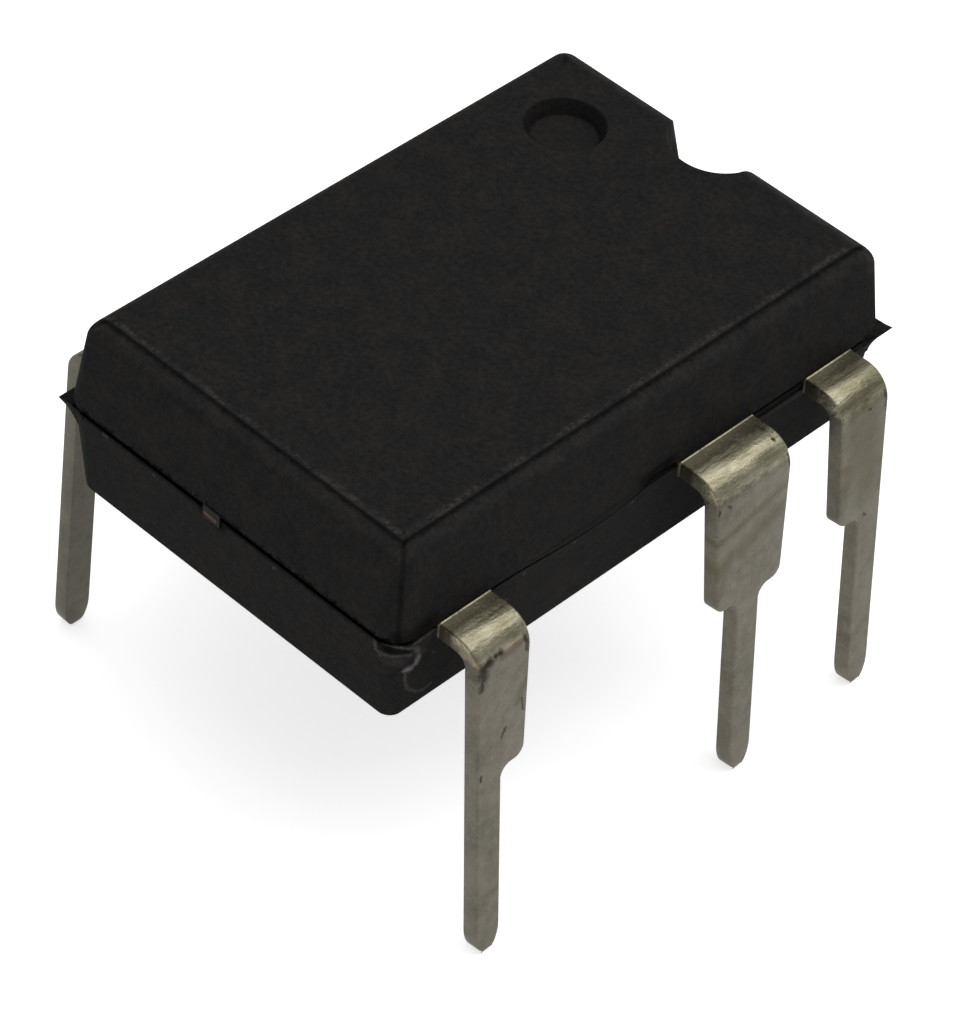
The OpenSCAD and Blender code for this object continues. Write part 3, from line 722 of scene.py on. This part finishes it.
SKIRT = ((-3.06, 2.272), (-2.7, 2.262), (-2.4, 2.235), (-2.09, 2.2), (-1.65, 2.155), (-1.2, 2.13),
         (-0.75, 2.13), (-0.5, 2.16), (-0.3, 2.205), (-0.12, 2.25), (0.1, 2.262), (0.45, 2.264))
take_away(body, ledge("gap_under_skirt", [(y, z + 0.02, 0.05, z - 0.065, 0.05) for y, z in SKIRT[1:-1]]))
take_away(body, ledge("skirt", [(y, 2.3, -0.003, z, -0.006) for y, z in SKIRT]), "UNION")
take_away(body, ledge("ledge_7_to_8", [(2.0, 2.08, -0.04, 1.95, -0.06), (2.3, 2.09, 0.0, 1.92, -0.055),
                                       (2.8, 2.1, 0.004, 1.91, -0.055), (3.2, 2.1, 0.0, 1.91, -0.055)]), "UNION")
hollow = start(bpy.ops.mesh.primitive_uv_sphere_add, "hollow", segments=32, ring_count=16, radius=1,
               location=(SIDE + 0.01 * MM, 0.2 * MM, 2.33 * MM), scale=(0.09 * MM, 0.38 * MM, 0.16 * MM))
take_away(body, hollow)

# The end notch widens upwards, and its lips roll out into the end wall
NOTCH_X = -0.05 * MM
NOTCH_Y = BODY_END - 0.14 * MM
NOTCH_R = 0.74 * MM
NOTCH_DRAFT = math.radians(12)
NOTCH_FLOOR = 0.3 * MM
LIP_R = 0.26 * MM


def notch_ring(height):
    """Plan of the notch at a height above the parting line."""
    radius = NOTCH_R - (TOP - SEAT - height) * math.tan(NOTCH_DRAFT)
    lip_y = BODY_END - height * math.tan(UPPER_DRAFT) - LIP_R
    lip_x = math.sqrt((radius + LIP_R) ** 2 - (NOTCH_Y - lip_y) ** 2)
    meet = math.atan2(NOTCH_Y - lip_y, lip_x)
    plan = [(lip_x, BODY_END + LIP_R), (-lip_x, BODY_END + LIP_R)]
    plan += arc(-lip_x, lip_y, LIP_R, math.pi / 2, meet, 16)[:-1]
    plan += arc(0, NOTCH_Y, radius, math.pi + meet, 2 * math.pi - meet, 48)
    plan += arc(lip_x, lip_y, LIP_R, math.pi - meet, math.pi / 2, 16)[1:]
    return [(x + NOTCH_X, y, SEAT + height) for x, y in plan]


take_away(body, loft("notch", [notch_ring(NOTCH_FLOOR), notch_ring(TOP - SEAT + LIP_R)]))
dimple = start(bpy.ops.mesh.primitive_cone_add, "dimple", vertices=96, radius1=0.49 * MM, radius2=0.69 * MM,
               depth=0.46 * MM, location=(1.49 * MM - SIDE, BODY_END - 1.56 * MM, TOP))
take_away(body, dimple)
bpy.ops.object.mode_set(mode="EDIT")
pick("EDGE", lambda e: is_sharp(e) and min(v.co.z for v in e.verts) > TOP - MM / 1000)
bpy.ops.mesh.bevel(offset=0.018 * MM, segments=2, affect="EDGES")
bpy.ops.object.mode_set(mode="OBJECT")
for way in (1, -1):
    pin = start(bpy.ops.mesh.primitive_cylinder_add, "pin_mark", vertices=72, radius=0.65 * MM, depth=0.12 * MM,
                location=(0, way * 2.8 * MM, BOTTOM))
    take_away(body, pin)

for piece in list(leads.values()) + [paddle]:
    only(piece)
    bpy.ops.object.duplicate()
    take_away(body, bpy.context.object)
for name in ("die", "die_attach"):
    only(bpy.data.objects[name])
    bpy.ops.object.duplicate()
    bpy.ops.object.mode_set(mode="EDIT")
    bpy.ops.mesh.select_all(action="SELECT")
    bpy.ops.mesh.remove_doubles(threshold=1e-8)
    bpy.ops.object.mode_set(mode="OBJECT")
    take_away(body, bpy.context.object)

only(body)
bpy.ops.object.shade_smooth_by_angle(angle=math.radians(35))
bpy.ops.object.mode_set(mode="EDIT")
pick("FACE", lambda f: f.calc_area() > 0.6 * MM ** 2 or abs(f.normal.z) > 0.999)
bpy.ops.mesh.faces_shade_flat()
bpy.ops.object.mode_set(mode="OBJECT")


# The near corner was scuffed pale: each mark in millimetres is a path, its width, and how light it is
SCUFFS = (
    (((2.76, -4.76, 2.14), (2.77, -4.74, 1.98), (2.87, -4.73, 1.98), (3.0, -4.66, 1.98), (3.08, -4.55, 1.99),
      (3.1, -4.43, 1.93)), 0.09, 0.2),
    (((2.88, -4.76, 2.21), (2.97, -4.71, 2.19), (3.07, -4.6, 2.15), (3.11, -4.5, 2.11), (3.12, -4.38, 2.04)), 0.08, 0.3),
    (((3.12, -4.38, 2.04), (3.1, -4.3, 1.92), (3.08, -4.28, 1.78)), 0.13, 0.25),
    (((3.08, -4.28, 1.78), (3.07, -4.29, 1.68), (3.06, -4.38, 1.63), (3.06, -4.46, 1.66)), 0.17, 0.7),
    (((3.06, -4.46, 1.6), (3.05, -4.45, 1.45), (3.03, -4.4, 1.28), (3.02, -4.33, 1.16), (3.0, -4.13, 0.98),
      (2.99, -4.0, 0.92), (2.99, -3.93, 0.94)), 0.08, 0.2),
    (((3.14, -4.4, 2.14), (3.15, -4.2, 2.17), (3.15, -4.07, 2.19)), 0.14, 0.2),
    (((2.95, -4.7, 1.88), (3.05, -4.58, 1.85)), 0.3, 0.08),
)
FLAKES = ((2.99, -3.9, 0.96), (3.08, -3.97, 1.66), (3.12, -4.02, 2.08), (3.09, -4.19, 1.86), (3.12, -2.39, 2.07),
          (3.11, -1.42, 2.02), (3.11, -0.3, 2.05), (3.09, -2.66, 1.74), (-1.4, -4.76, 2.07), (0.9, -4.76, 2.05),
          (2.84, -4.74, 1.93), (-2.37, -4.76, 2.12), (-2.31, -4.76, 2.13), (3.0, -4.1, 2.9))


def epoxy_finish(name):
    """Matt black epoxy, mottled by its filler, with chipped specks on its rims and pale scuffs at the near corner. Its
    colour also carries painted light: painted shade on the walls, lower half, rounded top edges, upright corners,
    dimple and parting line, painted shadows near the near corner, lead 7 and the tie bar, and painted highlights on the
    rims.
    """
    epoxy = Finish(name)
    epoxy.shader.inputs["Specular IOR Level"].default_value = 0.01
    mottle = epoxy.noise(2.4, 2, 0.6)
    speckle = epoxy.noise(12, 3, 0.85)
    grain = epoxy.noise(26, 2, 0.7)
    across, along = abs(epoxy.x), abs(epoxy.y)
    ragged = speckle - 0.5
    high = epoxy.step(epoxy.z, 3.2, 3.4)
    past_rim = epoxy.math_max(across - 2.71, along - 4.335)
    past_near = epoxy.math_max(epoxy.x - 2.71, -4.335 - epoxy.y) + 0.07 * ragged
    # Painted shade: the rounded top edge next to the top face is painted darker.
    rounding_shade = high * epoxy.step(past_near, 0.005, 0.03) * epoxy.step(past_near, 0.12, 0.05)
    # Painted highlight: the top at the far end is painted lighter.
    far_rim_highlight = epoxy.step(epoxy.y, 4.3, 4.42) * high
    # Painted shade: the walls are painted darker than the top.
    wall_shade = epoxy.step(past_rim, 0.16, 0.3)
    # Painted light: the middle of the rounded top edges is painted lighter.
    turning_light = high * epoxy.step(abs(past_rim - 0.18), 0.11, 0.02)
    # Painted shade: a dark line painted down the upright corners, above the parting line.
    corner = epoxy.step(abs(across - along + 1.61), 0.09, 0.01) * epoxy.step(across, 2.6, 2.65)
    corner = corner * epoxy.step(epoxy.z, 2.28, 2.32)
    # Painted shade: the dimple's wall is painted darker.
    from_dimple = epoxy.vector("DISTANCE", epoxy.vector("MULTIPLY", epoxy.place, (1, 1, 0)), (-1.675, 3.23, 0), "Value")
    dimple_wall_shade = epoxy.step(abs(from_dimple - 0.545), 0.075, 0.04) * epoxy.step(epoxy.z, 3.652, 3.645)
    dimple_wall_shade = dimple_wall_shade * epoxy.step(epoxy.z, 3.42, 3.435)
    # Painted shade: a ragged dark band painted along the parting line on the end walls.
    parting = epoxy.step(abs(epoxy.z - 2.22 + 0.3 * ragged), 0.12, 0.05)
    parting = parting * epoxy.step(along, 4.5, 4.6) * epoxy.step(across, 3.02, 2.96)
    # Painted shade: the lower half is painted a little darker, and the skirt of flash more.
    low = epoxy.step(epoxy.z, 2.3, 2.27)
    skirt = low * epoxy.step(epoxy.x, 3.146, 3.152)
    # A warped place for the pale scuffs and for the painted shadows below.
    scuff_and_shadow_place = epoxy.warped(9, 0.035)
    shadow = epoxy.math_max(0.65 * epoxy.stroke((3.04, -4.62, 2.3), (3.16, -4.15, 2.38), 0.42, scuff_and_shadow_place),
                            0.8 * epoxy.stroke((2.93, -4.72, 2.1), (3.07, -4.5, 2.05), 0.26, scuff_and_shadow_place))
    shadow = epoxy.math_max(shadow, 0.6 * epoxy.stroke((3.16, -0.12, 2.33), (3.16, 0.4, 2.36), 0.4, scuff_and_shadow_place))
    shadow = epoxy.math_max(shadow, 0.85 * epoxy.stroke((-0.42, -4.75, 2.13), (-0.14, -4.75, 2.09), 0.36, scuff_and_shadow_place))
    shade = (0.8 + 0.4 * mottle) * (0.2 + 1.6 * speckle) * (1 - 0.2 * wall_shade) * (1 - 0.1 * low) * (1 + 0.18 * turning_light)
    shade = shade * (1 - 0.6 * rounding_shade) * (1 - 0.45 * corner) * (1 - 0.3 * dimple_wall_shade) * (1 - 0.85 * parting)
    shade = shade * (1 - shadow) * (1 - 0.3 * skirt) * (1 + 0.6 * far_rim_highlight)
    warm = epoxy.mix(epoxy.step(mottle, 0.35, 0.65), (0.033, 0.033, 0.0345), (0.0365, 0.0345, 0.0315))
    colour = epoxy.mix(0.5 * shade, (0.0, 0.0, 0.0), warm)
    # A lighter band broken into specks along the top rim is a painted highlight; the pale chipped specks lie on it.
    rim_highlight = high * epoxy.step(abs(past_near + 0.03), 0.08, 0.0) * epoxy.step(speckle, 0.3, 0.65)
    rim_highlight = rim_highlight * (0.7 + 0.7 * epoxy.step(mottle, 0.4, 0.6))
    colour = epoxy.mix(0.6 * rim_highlight, colour, (0.034, 0.032, 0.03))
    chips = epoxy.step(grain, 0.42, 0.68) * epoxy.step(mottle + 0.5 * speckle, 0.55, 0.85)
    colour = epoxy.mix(0.5 * chips * rim_highlight, colour, (0.075, 0.071, 0.066))
    scuff = 0.0
    for path, width, light in SCUFFS:
        for begin, end in zip(path, path[1:]):
            scuff = epoxy.math_max(scuff, light * epoxy.stroke(begin, end, width, scuff_and_shadow_place))
    scuff = scuff * epoxy.step(speckle, 0.15, 0.6)
    for flake in FLAKES:
        scuff = epoxy.math_max(scuff, 0.2 * epoxy.spot(flake, 0.08, scuff_and_shadow_place))
    colour = epoxy.mix(scuff, colour, (0.17, 0.16, 0.145))
    epoxy.to_shader(Base_Color=colour, Roughness=0.6 + 0.14 * grain)
    skin = epoxy.bump(grain, 0.012)
    skin = epoxy.bump(mottle, 0.012, skin)
    epoxy.to_shader(Normal=skin)
    return epoxy.material


body.data.materials.clear()
body.data.materials.append(epoxy_finish("epoxy"))
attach(body, "root")
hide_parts("mould_body")

# Floor, lights and camera
# A pale sheet lit softly from above and behind, as in a catalogue picture.
floor = start(bpy.ops.mesh.primitive_plane_add, "floor", size=2, location=(0, 0, TIP_Z - 0.02 * MM))
paper = Finish("paper")
paper.to_shader(Base_Color=paper.mix(paper.noise(0.02), (0.8, 0.8, 0.8), (0.82, 0.82, 0.82)), Roughness=0.9)
paper.shader.inputs["Emission Color"].default_value = (1, 1, 1, 1)
paper.shader.inputs["Emission Strength"].default_value = 0.65
floor.data.materials.append(paper.material)

world = bpy.data.worlds.new("studio")
bpy.context.scene.world = world
world.use_nodes = True
world.node_tree.nodes["Background"].inputs["Color"].default_value = (1, 1, 1, 1)
world.node_tree.nodes["Background"].inputs["Strength"].default_value = 0.45


def softbox(name, place, aim, width, height, radiance):
    """A square light of a given radiance that faces a point."""
    light = bpy.data.lights.new(name, "AREA")
    light.shape = "RECTANGLE"
    light.size, light.size_y = width, height
    light.energy = radiance * math.pi * width * height
    lamp = bpy.data.objects.new(name, light)
    bpy.context.scene.collection.objects.link(lamp)
    lamp.matrix_world = Matrix.Translation(place) @ (Vector(place) - Vector(aim)).to_track_quat("Z", "Y").to_matrix().to_4x4()
    return lamp


softbox("over", (0.02, 0.03, 0.3), (0, 0, 0), 0.3, 0.3, 1.5)
softbox("behind_right", (0.09, 0.19, 0.25), (0, 0, 0), 0.2, 0.12, 2.6)

azimuth, elevation, roll = math.radians(40.244), math.radians(43.626), math.radians(6)
back = Vector((math.sin(azimuth) * math.cos(elevation), -math.cos(azimuth) * math.cos(elevation), math.sin(elevation)))
right = Vector((math.cos(azimuth), math.sin(azimuth), 0))
up = back.cross(right)
eye = Vector((1.438, -1.4, 1.28)) * MM + back * 59.763 * MM
lens = bpy.data.cameras.new("camera")
lens.lens = 4456.455 * 36 / 1030
lens.clip_start = 1 * MM
camera = bpy.data.objects.new("camera", lens)
bpy.context.scene.collection.objects.link(camera)
right, up = right * math.cos(roll) + up * math.sin(roll), up * math.cos(roll) - right * math.sin(roll)
camera.matrix_world = Matrix.Translation(eye) @ Matrix((right, up, back)).transposed().to_4x4()
bpy.context.scene.camera = camera
bpy.context.scene.view_settings.view_transform = "Standard"
